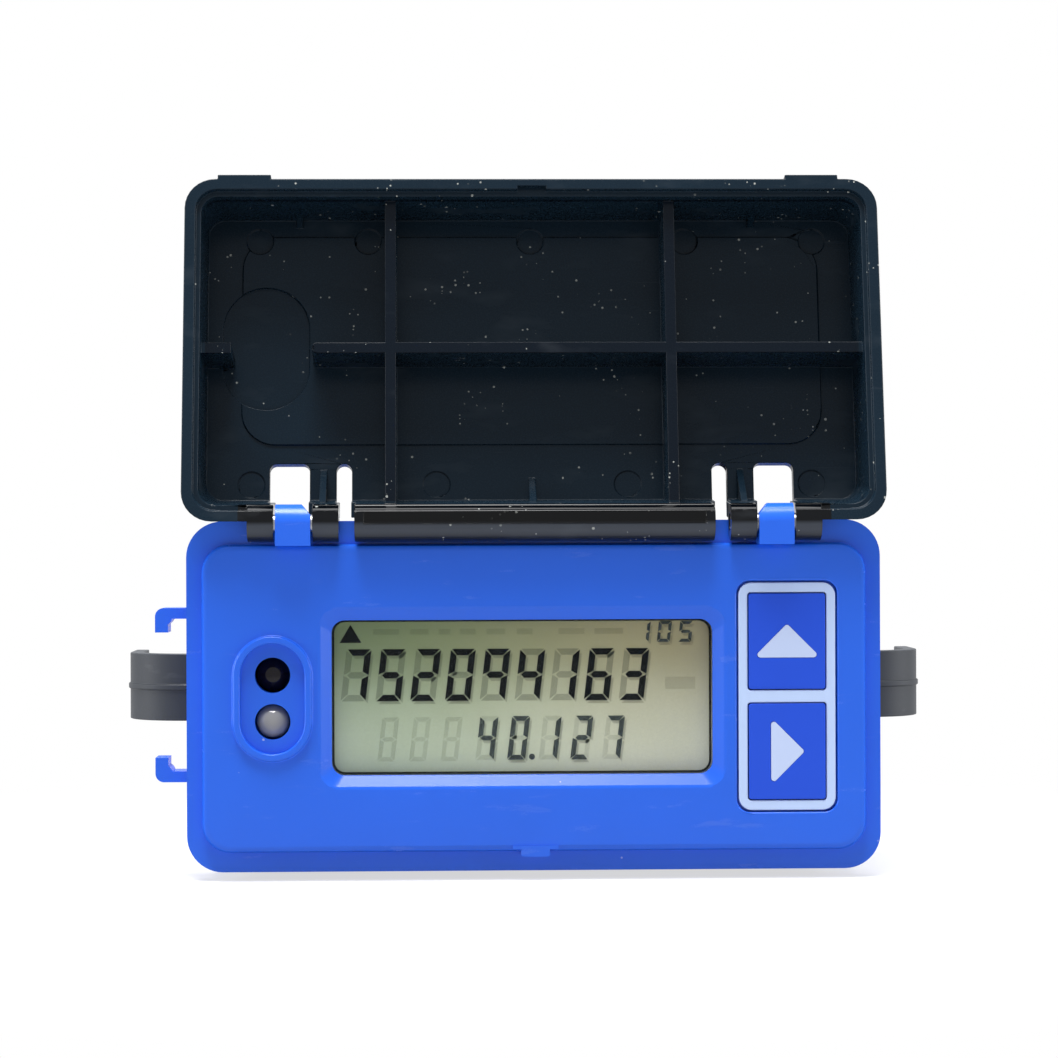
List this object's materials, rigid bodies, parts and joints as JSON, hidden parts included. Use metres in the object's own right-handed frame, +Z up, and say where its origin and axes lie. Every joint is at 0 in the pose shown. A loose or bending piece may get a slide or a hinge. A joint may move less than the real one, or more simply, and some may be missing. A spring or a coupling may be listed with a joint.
{
  "type": "ultrasonic flow meter",
  "caption": "Ultrasonic flow meter head: blue plastic housing with a display window, optical port, arrow keys, a black hinged lid, a cable gland and a rear mounting bow.",
  "frame": {"origin": "middle of the bottom face that the housing stands on, on the bottom plane", "axes": "+X to the right along the housing, +Y to the back, +Z up; the display faces -Y"},
  "size_m": [0.1204, 0.0597, 0.0967],
  "materials": {
    "housing_blue": "fine satin grain",
    "lid_black": "satin, bluish black",
    "bow_black": "satin",
    "gland_black": "satin",
    "seal_rubber": "matte",
    "contact_rubber": "matte",
    "steel": "zinc plated",
    "window_clear": "clear polycarbonate, gloss",
    "lcd_glass": "reflective liquid crystal glass, gloss",
    "reflector_white": "white",
    "frame_white": "white",
    "frame_pale": "satin pale lavender",
    "arrow_pale": "satin pale lavender",
    "key_blue": "satin",
    "lens_clear": "clear epoxy, gloss",
    "lens_dark": "infrared-dark epoxy, gloss",
    "board_green": "solder mask",
    "component_black": "matte",
    "ceramic": "satin",
    "battery_wrap": "shrink wrap",
    "lead_red": "satin",
    "plug_white": "satin",
    "terminal_green": "satin"
  },
  "bodies": {
    "housing": {"front_housing": "housing_blue", "rear_housing": "housing_blue", "housing_seal": "seal_rubber", "housing_screws": "steel", "display_window": "window_clear", "display_glass": "lcd_glass", "display_reflector": "reflector_white", "display_frame": "frame_white", "contact_strips": "contact_rubber", "key_frame": "frame_pale", "tact_switches": "component_black", "optical_emitter": "lens_clear", "optical_receiver": "lens_dark", "main_board": "board_green", "board_screws": "steel", "processor": "component_black", "timing_chip": "component_black", "crystals": "steel", "capacitors": "ceramic", "battery": "battery_wrap", "battery_pad": "seal_rubber", "battery_lead": "lead_red", "battery_plug": "plug_white", "terminal_block": "terminal_green", "gland_body": "gland_black", "gland_seal": "seal_rubber", "gland_nut": "gland_black", "gland_locknut": "steel", "mounting_bow": "bow_black", "bow_screws": "steel"},
    "lid": {"lid": "lid_black", "hinge_pins": "steel"},
    "key_up": {"key_up": "key_blue", "arrow_up": "arrow_pale"},
    "key_right": {"key_right": "key_blue", "arrow_right": "arrow_pale"}
  },
  "joints": [
    {"name": "lid_hinge", "type": "hinge", "parent": "housing", "child": "lid", "pos_m": [0, -0.0209, 0.0481], "axis": [1, 0, 0], "range_deg": [0, 192]},
    {"name": "key_up_press", "type": "slide", "parent": "housing", "child": "key_up", "axis": [0, 1, 0], "range_m": [0, 0.0004], "stiffness_N_per_m": 1500, "springref_m": -0.0002},
    {"name": "key_right_press", "type": "slide", "parent": "housing", "child": "key_right", "axis": [0, 1, 0], "range_m": [0, 0.0004], "stiffness_N_per_m": 1500, "springref_m": -0.0002}
  ]
}
